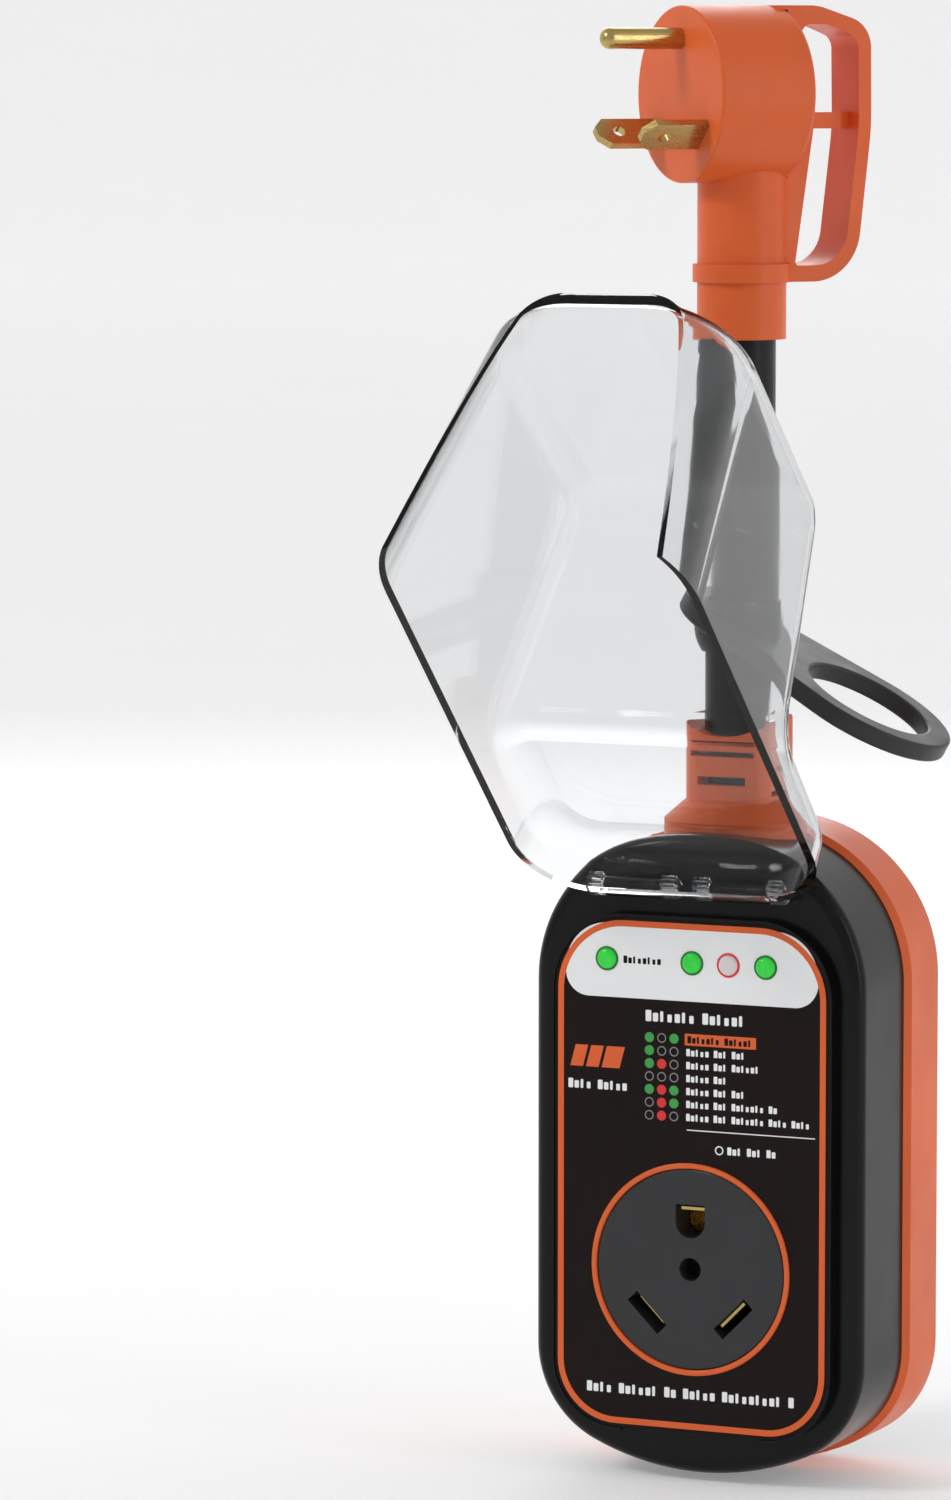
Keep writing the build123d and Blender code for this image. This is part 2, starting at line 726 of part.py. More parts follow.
grip_back, grip_low = 31.7, collar_bottom - plug_z
with BuildPart() as plug_handle:
    with BuildSketch(side_plane):
        with BuildLine():
            outer = FilletPolyline(
                (6.0, head_radius_plug),
                (17.0, head_radius_plug),
                (grip_back, 16.5),
                (grip_back + 0.2, -8.0),
                (27.6, grip_low),
                (3.0, grip_low),
                radius=[14.0, 7.5, 70.0, 13.0],
            )
            Polyline(outer @ 1, (8.2, -8.0), (6.0, -4.0), outer @ 0)
        make_face()
        with BuildLine():
            FilletPolyline(
                (12.0, 16.6),
                (20.0, 16.6),
                (28.2, 13.4),
                (28.5, -8.0),
                (24.5, grip_low + 3.9),
                (10.9, grip_low + 3.9),
                (16.2, -6.0),
                radius=[2.5, 10.0, 3.5, 60.0, 9.0, 1.0, 6.0],
                close=True,
            )
        make_face(mode=Mode.SUBTRACT)
    extrude(amount=handle_width / 2, both=True)
    with BuildSketch(side_plane):
        with Locations((21.5, -6.3)):
            Rectangle(17.0, 3.9)
    extrude(amount=1.95, both=True)
    with BuildSketch(head_plane.offset(head_back)):
        Circle(head_radius_plug)
    extrude(amount=head_front - head_back, mode=Mode.SUBTRACT)
    with BuildSketch(Plane.XY.offset(sleeve_bottom)):
        with Locations((0, cable_y)):
            Circle(collar_radius)
    extrude(amount=collar_top - sleeve_bottom, mode=Mode.SUBTRACT)
    with BuildSketch(Plane.XY.offset(collar_top)):
        with Locations((0, cable_y)):
            Circle(sleeve_radius)
    extrude(amount=plug_z - collar_top, mode=Mode.SUBTRACT)
save(plug_handle, "plug_handle")

# ---------------------------------------------------------------- hood

hinge_y = -face_depth - hinge_stand
outward = Vector(0, -cos(radians(open_angle)), sin(radians(open_angle)))
hood_origin = Vector(0, hinge_y, hinge_z) - outward * hinge_stand
hood_plane = Plane(origin=hood_origin, x_dir=(1, 0, 0), z_dir=outward)
profile_plane = Plane(origin=hood_origin, x_dir=hood_plane.y_dir, z_dir=(1, 0, 0))

rim_gap = 0.4
hood_top_edge, hood_end = -2.9, -129.0
step_near, step_far = -46.0, -57.0
low_roof, high_roof, end_roof = 15.0, 76.5, 74.0
side_radius = 9.0


def hood_block(inset, past_end):
    """The hood's outer form, or with an inset the space inside it.

    Seen from the side it is shallow over the indicators and deep over the outlet. Seen from
    the front it has tapered sides and rounded corners.
    """
    with BuildPart(mode=Mode.PRIVATE) as block:
        with BuildSketch(hood_plane.offset(rim_gap - past_end)):
            half, high, low = hood_half_width - inset, hood_top_edge - inset, -143.0
            with BuildLine():
                upper = FilletPolyline(
                    (half, -70), (half, high), (-half, high), (-half, -70), radius=18.0 - inset
                )
                FilletPolyline(upper @ 1, (-half, low), (half, low), upper @ 0, radius=30.0 - inset)
            make_face()
        extrude(amount=90.0, taper=hood_taper)
        with BuildSketch(profile_plane.offset(-50.0)):
            with BuildLine():
                roof = FilletPolyline(
                    (high, rim_gap - past_end),
                    (high, low_roof - inset),
                    (step_near - inset, low_roof + 1.5 - inset),
                    (step_far - inset, high_roof - inset),
                    (hood_end - 5.0 - past_end, end_roof - inset),
                    radius=[6.0 - inset, 5.0 + inset, 12.0 - inset],
                )
                Polyline(roof @ 1, (hood_end - past_end, rim_gap - past_end), roof @ 0)
            make_face()
        extrude(amount=100.0, mode=Mode.INTERSECT)
        sides = block.edges().filter_by(
            lambda edge: abs(edge.center().X) > 15.0
            and abs(edge.tangent_at(0.5).X) < 0.5
            and hood_plane.to_local_coords(edge.center()).Z > 11.0
            and hood_end + 1.0 - past_end < hood_plane.to_local_coords(edge.center()).Y < -20.0
        )
        fillet(sides, radius=side_radius - inset)
    return block


with BuildPart() as hood:
    add(hood_block(0.0, 0.0).part)
    add(hood_block(hood_wall, 4.0).part, mode=Mode.SUBTRACT)
    for low, high in lug_spans:
        with BuildSketch(profile_plane.offset(low)):
            with Locations((0, hinge_stand)):
                Circle(hinge_radius)
            with Locations((hood_top_edge / 2 - 0.2, hinge_stand)):
                Rectangle(-hood_top_edge + 0.4, 2.8)
            with Locations((0, hinge_stand)):
                Circle(hinge_pin_radius + 0.05, mode=Mode.SUBTRACT)
        lug = extrude(amount=high - low)
        mirror(lug, about=Plane.YZ)
save(hood, "hood")

with BuildPart() as hinge_pins:
    for side in (-1, 1):
        with BuildSketch(Plane.YZ.offset(side * 2.8)):
            with Locations((hinge_y, hinge_z)):
                Circle(hinge_pin_radius)
        extrude(amount=side * 21.8)
save(hinge_pins, "hinge_pins")

# ---------------------------------------------------------------- lock plate

with BuildPart() as lock_bush:
    with Locations((0, cable_y, lock_z)):
        Sphere(bush_radius)
    with BuildSketch(Plane.XY.offset(lock_z - bush_half_height)):
        with Locations((0, cable_y)):
            Circle(bush_radius + 1)
    extrude(amount=2 * bush_half_height, mode=Mode.INTERSECT)
    with BuildSketch(Plane.XY.offset(lock_z - 20.0)):
        with Locations((0, cable_y)):
            Circle(cable_radius + 0.06)
    extrude(amount=40.0, mode=Mode.SUBTRACT)
save(lock_bush, "lock_bush")

slope = radians(lock_tilt)
plate_normal = Vector(sin(slope), 0, cos(slope))
plate_plane = Plane(
    origin=Vector(0, cable_y, lock_z) - plate_normal * (lock_thickness / 2),
    x_dir=(cos(slope), 0, -sin(slope)),
    z_dir=plate_normal,
)
with BuildPart() as lock_plate:
    with BuildSketch(plate_plane):
        Circle(lock_small_radius)
        with Locations((lock_length, 0)):
            Circle(lock_large_radius)
        make_hull()
        Circle(lock_cable_hole, mode=Mode.SUBTRACT)
        with Locations((lock_length, 0)):
            Circle(lock_hole_radius, mode=Mode.SUBTRACT)
    extrude(amount=lock_thickness)
    fillet(lock_plate.edges().filter_by(GeomType.CIRCLE).sort_by(SortBy.RADIUS)[-4:], radius=0.8)
save(lock_plate, "lock_plate")
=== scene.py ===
"""Looks of the surge protector plug: materials, printed label, small details, lights and camera.

Everything is in metres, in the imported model's frame: +Z up, the front faces -Y.
"""

import json
from math import cos, pi, radians, sin

import bmesh
import bpy
from mathutils import Matrix, Vector


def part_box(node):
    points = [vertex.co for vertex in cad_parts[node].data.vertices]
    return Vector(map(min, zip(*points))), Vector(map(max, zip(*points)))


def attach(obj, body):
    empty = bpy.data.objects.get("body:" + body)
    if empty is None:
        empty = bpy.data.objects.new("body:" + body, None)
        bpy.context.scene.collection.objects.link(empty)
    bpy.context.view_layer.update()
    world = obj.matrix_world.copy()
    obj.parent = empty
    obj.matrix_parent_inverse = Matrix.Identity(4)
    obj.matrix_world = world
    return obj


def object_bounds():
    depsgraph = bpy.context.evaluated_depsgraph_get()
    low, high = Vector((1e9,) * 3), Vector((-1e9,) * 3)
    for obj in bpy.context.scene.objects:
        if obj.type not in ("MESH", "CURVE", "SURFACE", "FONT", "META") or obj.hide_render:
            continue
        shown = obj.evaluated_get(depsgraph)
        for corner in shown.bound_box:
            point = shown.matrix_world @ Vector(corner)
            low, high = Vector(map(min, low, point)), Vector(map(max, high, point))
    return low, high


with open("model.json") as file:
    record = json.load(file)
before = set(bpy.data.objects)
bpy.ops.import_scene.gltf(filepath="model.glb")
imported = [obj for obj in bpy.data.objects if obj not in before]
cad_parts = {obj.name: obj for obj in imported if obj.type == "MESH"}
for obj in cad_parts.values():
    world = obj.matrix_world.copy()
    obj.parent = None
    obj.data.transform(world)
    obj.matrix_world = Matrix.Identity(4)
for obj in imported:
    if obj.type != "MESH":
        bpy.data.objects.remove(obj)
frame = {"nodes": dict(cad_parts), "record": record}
cad_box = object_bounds()
nodes = frame["nodes"]
mm = 0.001

# The front surfaces that marks and rings sit on, and the heights they are placed from.
label_low, label_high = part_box("label_panel")
trim_low, trim_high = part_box("outlet_trim")
lens_low, lens_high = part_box("protected_lens")
label_y = label_low[1]
window_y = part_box("indicator_window")[0][1]
outlet_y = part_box("outlet_face")[0][1]
outlet_z = (trim_low[2] + trim_high[2]) / 2
lens_z = (lens_low[2] + lens_high[2]) / 2
label_half = label_high[0]
lens_names = ("protected_lens", "left_circuit_lens", "middle_circuit_lens", "right_circuit_lens")


# ---------------------------------------------------------------- materials

# A noise field lies mostly between these two values.
field_low, field_high = 0.3, 0.7

# Noise scales, in features per metre.
mottle_scale, gloss_scale = 35.0, 90.0
tarnish_scale, polish_scale, scratch_scale = 120.0, 400.0, 900.0
diffuser_scale = 600.0
smear_scale, ripple_scale = 60.0, 45.0

# Relief heights, in metres.
metal_relief, lens_relief, hood_relief = 0.000004, 0.00005, 0.00004


def shader(name, colour, roughness, metallic=0.0):
    """A new material and its Principled shader."""
    material = bpy.data.materials.new(name)
    material.use_nodes = True
    principled = material.node_tree.nodes["Principled BSDF"]
    principled.inputs["Base Color"].default_value = (*colour, 1.0)
    principled.inputs["Roughness"].default_value = roughness
    principled.inputs["Metallic"].default_value = metallic
    return material, principled


def noise(material, scale, detail=3.0, stretch=(1.0, 1.0, 1.0)):
    """Noise in the object's own space; scale is in features per metre."""
    tree = material.node_tree
    place = tree.nodes.new("ShaderNodeTexCoord")
    mapping = tree.nodes.new("ShaderNodeMapping")
    mapping.inputs["Scale"].default_value = stretch
    texture = tree.nodes.new("ShaderNodeTexNoise")
    texture.inputs["Scale"].default_value = scale
    texture.inputs["Detail"].default_value = detail
    tree.links.new(place.outputs["Object"], mapping.inputs["Vector"])
    tree.links.new(mapping.outputs["Vector"], texture.inputs["Vector"])
    return texture.outputs["Fac"]


def vary_colour(material, principled, field, dark, light):
    """The base colour runs from dark to light with the field."""
    ramp = material.node_tree.nodes.new("ShaderNodeValToRGB")
    ramp.color_ramp.elements[0].position = field_low
    ramp.color_ramp.elements[1].position = field_high
    ramp.color_ramp.elements[0].color = (*dark, 1.0)
    ramp.color_ramp.elements[1].color = (*light, 1.0)
    material.node_tree.links.new(field, ramp.inputs["Fac"])
    material.node_tree.links.new(ramp.outputs["Color"], principled.inputs["Base Color"])


def vary_roughness(material, principled, field, low, high):
    """The roughness runs from low to high with the field."""
    spread = material.node_tree.nodes.new("ShaderNodeMapRange")
    spread.inputs["From Min"].default_value = field_low
    spread.inputs["From Max"].default_value = field_high
    spread.inputs["To Min"].default_value = low
    spread.inputs["To Max"].default_value = high
    material.node_tree.links.new(field, spread.inputs["Value"])
    material.node_tree.links.new(spread.outputs["Result"], principled.inputs["Roughness"])


def add_bump(material, principled, field, height):
    """Surface relief of that height in metres."""
    bump = material.node_tree.nodes.new("ShaderNodeBump")
    bump.inputs["Strength"].default_value = 1.0
    bump.inputs["Distance"].default_value = height
    material.node_tree.links.new(field, bump.inputs["Height"])
    material.node_tree.links.new(bump.outputs["Normal"], principled.inputs["Normal"])


def scaled(colour, factor):
    """The colour made lighter or darker, and never above full white."""
    return tuple(min(1.0, channel * factor) for channel in colour)


def moulded(
    name, colour, low, high, grain=2600.0, relief=0.00003, mottle=0.06, coat=0.0, gloss=0.5
):
    """Moulded plastic: a fine grain, slight mottling and a roughness from low to high."""
    material, principled = shader(name, colour, (low + high) / 2)
    principled.inputs["Specular IOR Level"].default_value = gloss
    broad = noise(material, mottle_scale)
    vary_colour(material, principled, broad, scaled(colour, 1 - mottle), scaled(colour, 1 + mottle))
    vary_roughness(material, principled, noise(material, gloss_scale, 4.0), low, high)
    add_bump(material, principled, noise(material, grain, 2.0), relief)
    principled.inputs["Coat Weight"].default_value = coat
    principled.inputs["Coat Roughness"].default_value = 0.08
    return material


def metal(name, colour, low, high, stretch=(1.0, 1.0, 1.0)):
    """Bare metal with drawn lines along its stretch and a little tarnish."""
    material, principled = shader(name, colour, (low + high) / 2, metallic=1.0)
    tarnish = noise(material, tarnish_scale, 4.0)
    vary_colour(material, principled, tarnish, scaled(colour, 0.8), colour)
    vary_roughness(material, principled, noise(material, polish_scale, 3.0, stretch), low, high)
    add_bump(material, principled, noise(material, scratch_scale, 2.0, stretch), metal_relief)
    return material


def lit(name, colour, strength):
    """A lens with a lamp behind it, brighter where the diffuser is thin."""
    material, principled = shader(name, colour, 0.15)
    field = noise(material, diffuser_scale, 2.0)
    vary_colour(material, principled, field, scaled(colour, 0.7), colour)
    principled.inputs["Emission Color"].default_value = (*colour, 1.0)
    principled.inputs["Emission Strength"].default_value = strength
    add_bump(material, principled, field, lens_relief)
    return material


def clear_plastic():
    """Clear moulded polycarbonate with painted shade: its colour darkens to near black where the
    surface is seen edge on, standing in for the dark edges that refraction gives.
    """
    face_on, edge_painted_shade = (0.88, 0.89, 0.90), (0.10, 0.11, 0.12)
    material, principled = shader("clear_plastic", face_on, 0.03)
    tree = material.node_tree
    principled.inputs["Transmission Weight"].default_value = 1.0
    principled.inputs["IOR"].default_value = 1.3
    # Painted shade: the Layer Weight facing darkens the base colour at grazing angles, so the dark
    # edges are painted into the colour.
    facing = tree.nodes.new("ShaderNodeLayerWeight")
    facing.inputs["Blend"].default_value = 0.35
    ramp = tree.nodes.new("ShaderNodeValToRGB")
    ramp.color_ramp.elements[0].position = 0.45
    ramp.color_ramp.elements[0].color = (*face_on, 1.0)
    ramp.color_ramp.elements[1].position = 0.97
    ramp.color_ramp.elements[1].color = (*edge_painted_shade, 1.0)
    tree.links.new(facing.outputs["Facing"], ramp.inputs["Fac"])
    tree.links.new(ramp.outputs["Color"], principled.inputs["Base Color"])
    vary_roughness(material, principled, noise(material, smear_scale), 0.015, 0.05)
    add_bump(material, principled, noise(material, ripple_scale, 1.0), hood_relief)
    return material


orange = (0.76, 0.125, 0.025)
materials = {
    "black_gloss": moulded(
        "black_gloss", (0.004, 0.004, 0.0045), 0.16, 0.26,
        grain=500.0, relief=0.00001, mottle=0.1, coat=0.06, gloss=0.16,
    ),
    "orange_plastic": moulded("orange_plastic", orange, 0.32, 0.45, gloss=0.35),
    "dark_grey_plastic": moulded("dark_grey_plastic", (0.028, 0.029, 0.031), 0.3, 0.45, gloss=0.35),
    "black_rubber": moulded(
        "black_rubber", (0.007, 0.007, 0.008), 0.3, 0.45,
        grain=1500.0, relief=0.00004, mottle=0.15, gloss=0.25,
    ),
    "label_black": moulded(
        "label_black", (0.010, 0.006, 0.005), 0.3, 0.4,
        grain=1800.0, relief=0.00001, mottle=0.12, gloss=0.12,
    ),
    "strip_white": moulded(
        "strip_white", (0.88, 0.89, 0.90), 0.30, 0.42, grain=1800.0, relief=0.00001, mottle=0.03
    ),
    "steel": metal("steel", (0.52, 0.52, 0.53), 0.22, 0.38),
    "brass": metal("brass", (0.60, 0.44, 0.17), 0.18, 0.32, stretch=(1.0, 1.0, 6.0)),
    "lens_green": lit("lens_green", (0.015, 0.42, 0.03), strength=0.7),
    "lens_red": moulded(
        "lens_red", (0.72, 0.66, 0.66), 0.15, 0.25, grain=diffuser_scale, relief=lens_relief
    ),
    "led_clear": moulded("led_clear", (0.7, 0.75, 0.72), 0.1, 0.2),
    "board_green": moulded("board_green", (0.02, 0.20, 0.07), 0.3, 0.4),
    "varistor_blue": moulded("varistor_blue", (0.03, 0.12, 0.45), 0.35, 0.45),
    "capacitor_yellow": moulded("capacitor_yellow", (0.75, 0.50, 0.05), 0.3, 0.4),
    "terminal_green": moulded("terminal_green", (0.04, 0.30, 0.10), 0.4, 0.5),
    "wire_green": moulded("wire_green", (0.03, 0.30, 0.08), 0.4, 0.5),
    "wire_white": moulded("wire_white", (0.8, 0.8, 0.78), 0.4, 0.5),
    "wire_black": moulded("wire_black", (0.02, 0.02, 0.02), 0.4, 0.5),
    "clear_plastic": clear_plastic(),
}
ring_green = moulded("ring_green", (0.01, 0.16, 0.02), 0.3, 0.4)
print_red = moulded("print_red", (0.75, 0.02, 0.02), 0.3, 0.4)
print_green = moulded("print_green", (0.04, 0.36, 0.06), 0.3, 0.4)
print_grey = moulded("print_grey", (0.25, 0.25, 0.25), 0.3, 0.4)
blackened_steel = metal("blackened_steel", (0.02, 0.02, 0.02), 0.35, 0.5)

for part in frame["record"]["subparts"]:
    piece = nodes[part["node"]]
    piece.data.materials.clear()
    piece.data.materials.append(materials[part["material_slot"]])
nodes["outlet_screw"].data.materials[0] = blackened_steel


# ---------------------------------------------------------------- mesh helpers

# How far printed marks stand out from their surface.
print_height = 0.04 * mm


def finish_piece(name, mesh, material, body="protector"):
    """Turns a bmesh into a piece that rides on a body."""
    bmesh.ops.recalc_face_normals(mesh, faces=mesh.faces)
    data = bpy.data.meshes.new(name)
    mesh.to_mesh(data)
    mesh.free()
    data.materials.append(material)
    piece = bpy.data.objects.new(name, data)
    bpy.context.scene.collection.objects.link(piece)
    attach(piece, body)
    return piece


def arc(centre_x, centre_z, radius, start, end, steps):
    """Points on an arc, from the start angle to the end angle in degrees."""
    angles = [radians(start + (end - start) * i / steps) for i in range(steps + 1)]
    return [(centre_x + radius * cos(a), centre_z + radius * sin(a)) for a in angles]


def rounded_box(left, right, low, high, radius, top_radius=None, steps=8):
    """An outline with rounded corners, going anticlockwise as seen from the front."""
    upper = radius if top_radius is None else top_radius
    return (
        arc(right - radius, low + radius, radius, -90, 0, steps)
        + arc(right - upper, high - upper, upper, 0, 90, steps)
        + arc(left + upper, high - upper, upper, 90, 180, steps)
        + arc(left + radius, low + radius, radius, 180, 270, steps)
    )


def add_plate(mesh, outline, surface_y, height):
    """A thin raised mark on a surface that faces the front, also sunk into it by its height."""
    front_y = surface_y - height
    front = [mesh.verts.new((x, front_y, z)) for x, z in outline]
    back = [mesh.verts.new((x, surface_y + height, z)) for x, z in outline]
    mesh.faces.new(front)
    mesh.faces.new(back[::-1])
    for i, corner in enumerate(front):
        mesh.faces.new((corner, back[i], back[i - 1], front[i - 1]))


def add_ring(mesh, outer, inner, surface_y, height):
    """A thin closed band between two outlines with the same number of points."""
    loops = []
    for outline, y in (
        (outer, surface_y - height),
        (inner, surface_y - height),
        (inner, surface_y + height),
        (outer, surface_y + height),
    ):
        loops.append([mesh.verts.new((x, y, z)) for x, z in outline])
    count = len(outer)
    for loop_a, loop_b in zip(loops, loops[1:] + loops[:1]):
        for i in range(count):
            mesh.faces.new((loop_a[i], loop_a[i - 1], loop_b[i - 1], loop_b[i]))


def add_disc(mesh, x, z, radius, surface_y, height, steps=20):
    """A thin round mark."""
    add_plate(mesh, arc(x, z, radius, 0, 360 - 360 / steps, steps - 1), surface_y, height)


def add_circle_band(mesh, x, z, outer, inner, surface_y, height, steps=40):
    """A thin round band between two radii."""
    last = 360 - 360 / steps
    add_ring(
        mesh,
        arc(x, z, outer, 0, last, steps - 1),
        arc(x, z, inner, 0, last, steps - 1),
        surface_y,
        height,
    )


def add_words(mesh, left, right, z, height, surface_y, pattern=(5, 3, 7, 4, 6)):
    """A line of plain blocks in word-like groups, in place of printed text."""
    pitch = height * 0.7
    x = left
    for count in pattern * 6:
        for i in range(count):
            if x + pitch * 0.75 > right:
                return
            low = z - height / 2
            tall = height * (1.0 if i == 0 else (0.7, 0.78, 0.95)[i % 3])
            wide = pitch * (0.78 if i == 0 else (0.6, 0.72, 0.42)[i % 3])
            block = rounded_box(x, x + wide, low, low + tall, pitch * 0.14, steps=2)
            add_plate(mesh, block, surface_y, print_height)
            x += pitch
        x += pitch * 0.8


# ---------------------------------------------------------------- printed label

border_inset, border_width, border_height = 0.9 * mm, 1.5 * mm, 0.09 * mm
label_corner_top, label_corner_bottom = 18.0 * mm, 16.0 * mm


def label_loop(inset):
    """The label's outline, moved inwards."""
    return rounded_box(
        -label_half + inset,
        label_half - inset,
        label_low[2] + inset,
        label_high[2] - inset,
        label_corner_bottom - inset,
        label_corner_top - inset,
        steps=14,
    )


mesh = bmesh.new()
border_outer, border_inner = label_loop(border_inset), label_loop(border_inset + border_width)
add_ring(mesh, border_outer, border_inner, label_y, border_height)
finish_piece("label_border", mesh, materials["orange_plastic"])

chart_top, chart_pitch = 28.2 * mm, 3.12 * mm
chart_columns = (-10.8 * mm, -7.6 * mm, -4.4 * mm)
chart_text_left, chart_text_height = -1.2 * mm, 1.75 * mm
dot_radius, off_outer, off_inner = 1.2 * mm, 1.15 * mm, 0.9 * mm
# Each row's three dots, and where its text ends, in millimetres.
chart_rows = (
    ("green", "off", "green", 16.5),
    ("green", "off", "off", 14.5),
    ("green", "red", "off", 18.5),
    ("off", "off", "off", 9.5),
    ("green", "red", "green", 14.5),
    ("off", "red", "green", 22.5),
    ("off", "red", "off", 31.0),
)
white_marks, green_marks, red_marks, grey_marks = (bmesh.new() for _ in range(4))
dot_meshes = {"green": green_marks, "red": red_marks}
for row, (*dots, text_end) in enumerate(chart_rows):
    row_z = chart_top - row * chart_pitch
    for column_x, dot in zip(chart_columns, dots):
        if dot == "off":
            add_circle_band(
                grey_marks, column_x, row_z, off_outer, off_inner, label_y, print_height, 24
            )
        else:
            add_disc(dot_meshes[dot], column_x, row_z, dot_radius, label_y, print_height)
    if row > 0:
        add_words(white_marks, chart_text_left, text_end * mm, row_z, chart_text_height, label_y)
# Left end, right end, height on the label and height of the letters, in millimetres, then the
# blocks in each word: the title, the caption below the chart, the line below the stripes and the
# sentence below the outlet.
for left, right, line_z, letter_height, pattern in (
    (-11.8, 15.5, 33.4, 2.7, (7, 8)),
    (9.5, 22.0, 2.0, 1.9, (3, 3)),
    (-32.0, -14.6, 16.0, 2.3, (4, 5)),
    (-27.0, 28.0, -57.4, 2.5, (4, 6, 2, 5, 9)),
):
    add_words(
        white_marks, left * mm, right * mm, line_z * mm, letter_height * mm, label_y, pattern
    )
# The small circle before the caption, and the thin rule above it.
add_circle_band(white_marks, 7.4 * mm, 2.0 * mm, 1.1 * mm, 0.8 * mm, label_y, print_height, 24)
rule = rounded_box(-1.0 * mm, 32.0 * mm, 6.3 * mm, 6.55 * mm, 0.05 * mm, steps=1)
add_plate(white_marks, rule, label_y, print_height)
finish_piece("label_print_white", white_marks, materials["strip_white"])
finish_piece("label_print_green", green_marks, print_green)
finish_piece("label_print_red", red_marks, print_red)
finish_piece("label_print_grey", grey_marks, print_grey)

# The orange bar behind the chart's first row, and three slanted stripes.
mesh = bmesh.new()
bar_half = 1.4 * mm
row_bar = rounded_box(
    -1.6 * mm, 16.8 * mm, chart_top - bar_half, chart_top + bar_half, 0.15 * mm, steps=2
)
add_plate(mesh, row_bar, label_y, print_height)
stripe_low, stripe_high, slant = 20.2 * mm, 25.4 * mm, 1.4 * mm
for left, right in ((-31.5, -28.2), (-27.4, -24.1), (-23.3, -18.6)):
    stripe = [
        (left * mm, stripe_low),
        (right * mm, stripe_low),
        (right * mm + slant, stripe_high),
        (left * mm + slant, stripe_high),
    ]
    add_plate(mesh, stripe, label_y, print_height)
finish_piece("label_print_orange", mesh, materials["orange_plastic"])

# Dark words on the orange bar, and one beside the first lens.
mesh = bmesh.new()
bar_y = label_y - print_height
add_words(mesh, -0.9 * mm, 16.4 * mm, chart_top, chart_text_height, bar_y, (7, 6))
add_words(mesh, -17.6 * mm, -7.6 * mm, lens_z, 1.8 * mm, window_y, (9,))
finish_piece("label_print_dark", mesh, materials["label_black"])

# ---------------------------------------------------------------- lens rings

ring_outer, ring_inner, ring_height = 2.95 * mm, 2.42 * mm, 0.22 * mm
for lens_name in lens_names:
    low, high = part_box(lens_name)
    x = (low[0] + high[0]) / 2
    ring_material = print_red if lens_name == "middle_circuit_lens" else ring_green
    mesh = bmesh.new()
    add_circle_band(mesh, x, lens_z, ring_outer, ring_inner, window_y, ring_height)
    ring = finish_piece(lens_name + "_ring", mesh, ring_material)
    ring_bevel = ring.modifiers.new("soft_edge", "BEVEL")
    ring_bevel.width = 0.12 * mm
    ring_bevel.segments = 2

# ---------------------------------------------------------------- contacts behind the outlet's slots


def add_tab(mesh, x, z, turn, width, thickness, shift, depth_from, depth_to):
    """A brass leaf standing in a slot, against one of its long sides."""
    along = Vector((cos(turn), 0, sin(turn)))
    across = Vector((-sin(turn), 0, cos(turn)))
    middle = Vector((x, 0, z)) + across * shift
    size = Matrix.Diagonal((width, depth_to - depth_from, thickness, 1.0))
    turned = Matrix((along, Vector((0, 1, 0)), across)).transposed().to_4x4()
    place = Matrix.Translation(middle + Vector((0, (depth_from + depth_to) / 2, 0)))
    bmesh.ops.create_cube(mesh, size=1.0, matrix=place @ turned @ size)


mesh = bmesh.new()
slot_x, slot_z = 11.2 * mm, outlet_z - 11.2 * mm
ground_z = outlet_z + 14.6 * mm
tab_front, tab_back = outlet_y + 1.6 * mm, outlet_y + 9.5 * mm
blade_tab_width, ground_tab_width = 8.6 * mm, 6.2 * mm
tab_thickness, tab_shift = 0.9 * mm, 1.1 * mm
for side in (-1, 1):
    add_tab(
        mesh, side * slot_x, slot_z, side * pi / 4, blade_tab_width, tab_thickness, tab_shift,
        tab_front, tab_back,
    )
add_tab(mesh, 0.0, ground_z, 0.0, ground_tab_width, tab_thickness, 0.0, tab_front, tab_back)
tabs = finish_piece("outlet_contact_tabs", mesh, materials["brass"])
tab_bevel = tabs.modifiers.new("soft_edge", "BEVEL")
tab_bevel.width = 0.15 * mm
tab_bevel.segments = 2

# ---------------------------------------------------------------- softened edges and smooth shading

# Bevel widths in millimetres, on the pieces whose edges show.
soft_edges = {
    "plug_handle": 0.9,
    "plug_body": 0.5,
    "strain_relief": 0.45,
    "hood": 0.35,
    "lock_plate": 0.3,
    "outlet_face": 0.2,
    "mid_housing": 0.4,
    "front_housing": 0.3,
    "label_panel": 0.08,
}
for node_name, width in soft_edges.items():
    bevel = nodes[node_name].modifiers.new("soft_edge", "BEVEL")
    bevel.width = width * mm
    bevel.segments = 3
    bevel.limit_method = "ANGLE"
    bevel.angle_limit = radians(38)
    bevel.harden_normals = True

# ---------------------------------------------------------------- stage, lights and camera


def area_light(name, place, target, size, power):
    """A soft rectangular lamp aimed at a point."""
    lamp = bpy.data.lights.new(name, "AREA")
    lamp.shape = "RECTANGLE"
    lamp.size, lamp.size_y = size
    lamp.energy = power
    holder = bpy.data.objects.new(name, lamp)
    holder.location = place
    holder.rotation_euler = (Vector(target) - Vector(place)).to_track_quat("-Z", "Y").to_euler()
    bpy.context.scene.collection.objects.link(holder)


# A round floor that curves up into a wall, wide enough for the camera to stand inside it.
floor_radius, cove_radius, wall_top, ring_steps = 9.0, 5.0, 16.0, 96
centre_radius, floor_gap = 0.02, 0.0005
floor_mesh = bmesh.new()
cove = [(centre_radius, 0.0), (floor_radius, 0.0)]
for angle in range(10, 91, 10):
    turn = radians(angle)
    cove.append((floor_radius + cove_radius * sin(turn), cove_radius * (1 - cos(turn))))
cove.append((floor_radius + cove_radius, wall_top))
rings = []
for reach, height in cove:
    angles = [2 * pi * i / ring_steps for i in range(ring_steps)]
    rings.append([floor_mesh.verts.new((reach * cos(a), reach * sin(a), height)) for a in angles])
floor_mesh.faces.new(rings[0])
for inner, outer in zip(rings, rings[1:]):
    for i in range(ring_steps):
        floor_mesh.faces.new((inner[i], inner[i - 1], outer[i - 1], outer[i]))
for face in floor_mesh.faces:
    face.smooth = len(face.verts) == 4
floor_data = bpy.data.meshes.new("floor")
floor_mesh.to_mesh(floor_data)
floor_mesh.free()
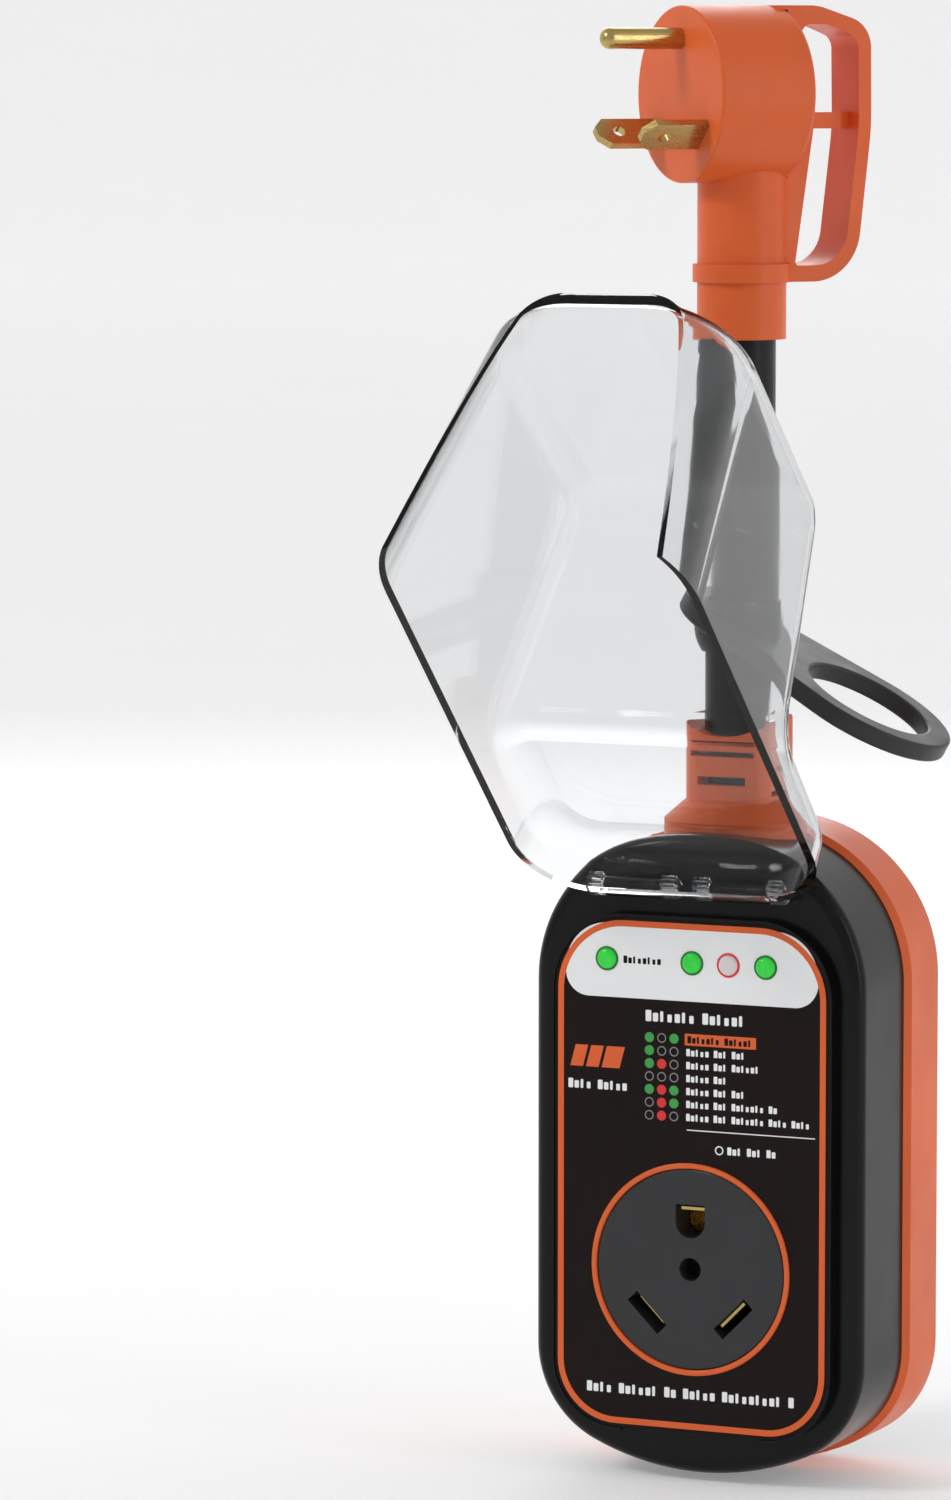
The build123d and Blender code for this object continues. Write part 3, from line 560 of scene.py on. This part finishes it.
floor_material, floor_shader = shader("floor", (0.80, 0.80, 0.80), 0.8)
vary_roughness(floor_material, floor_shader, noise(floor_material, 4.0), 0.7, 0.9)
floor_shader.inputs["Emission Color"].default_value = (1.0, 1.0, 1.0, 1.0)
stage_place = floor_material.node_tree.nodes.new("ShaderNodeTexCoord")
stage_axes = floor_material.node_tree.nodes.new("ShaderNodeSeparateXYZ")
stage_glow = floor_material.node_tree.nodes.new("ShaderNodeMapRange")
# The floor's faint glow grows from the front of the stage to the back.
for socket, value in (("From Min", -0.8), ("From Max", 0.4), ("To Min", 0.05), ("To Max", 0.33)):
    stage_glow.inputs[socket].default_value = value
stage_links = floor_material.node_tree.links
stage_links.new(stage_place.outputs["Object"], stage_axes.inputs["Vector"])
stage_links.new(stage_axes.outputs["Y"], stage_glow.inputs["Value"])
stage_links.new(stage_glow.outputs["Result"], floor_shader.inputs["Emission Strength"])
floor_data.materials.append(floor_material)
floor = bpy.data.objects.new("floor", floor_data)
floor.location = (0, 0, cad_box[0][2] - floor_gap)
bpy.context.scene.collection.objects.link(floor)

world = bpy.data.worlds.new("studio")
world.use_nodes = True
world.node_tree.nodes["Background"].inputs["Color"].default_value = (1.0, 1.0, 1.0, 1.0)
world.node_tree.nodes["Background"].inputs["Strength"].default_value = 0.5
bpy.context.scene.world = world
bpy.context.scene.view_settings.view_transform = "Standard"

middle = (0, -0.03, 0.08)
area_light("key", (-1.1, -1.2, 1.3), middle, (0.5, 0.5), 11)
area_light("side_strip", (1.3, -0.25, 0.35), middle, (0.2, 1.2), 2.2)
area_light("back_strip", (-0.6, 1.3, 0.9), middle, (0.9, 0.9), 5)

# The camera stands to the right of the front face, looks slightly down and turns a little left.
camera_azimuth = radians(23.3)
camera_pitch, camera_yaw = radians(5.6532), radians(1.7784)
camera_distance = 1.65
camera_height = 0.26085
camera_data = bpy.data.cameras.new("camera")
camera_data.sensor_fit = "HORIZONTAL"
camera_data.sensor_width = 36.0
camera_data.lens = 264.5
camera_data.clip_end = 100.0
camera = bpy.data.objects.new("camera", camera_data)
pivot_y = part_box("front_housing")[0][1] + 3.4 * mm
camera.location = (
    camera_distance * sin(camera_azimuth),
    pivot_y - camera_distance * cos(camera_azimuth),
    camera_height,
)
camera.rotation_euler = (pi / 2 - camera_pitch, 0, camera_azimuth + camera_yaw)
bpy.context.scene.collection.objects.link(camera)
bpy.context.scene.camera = camera
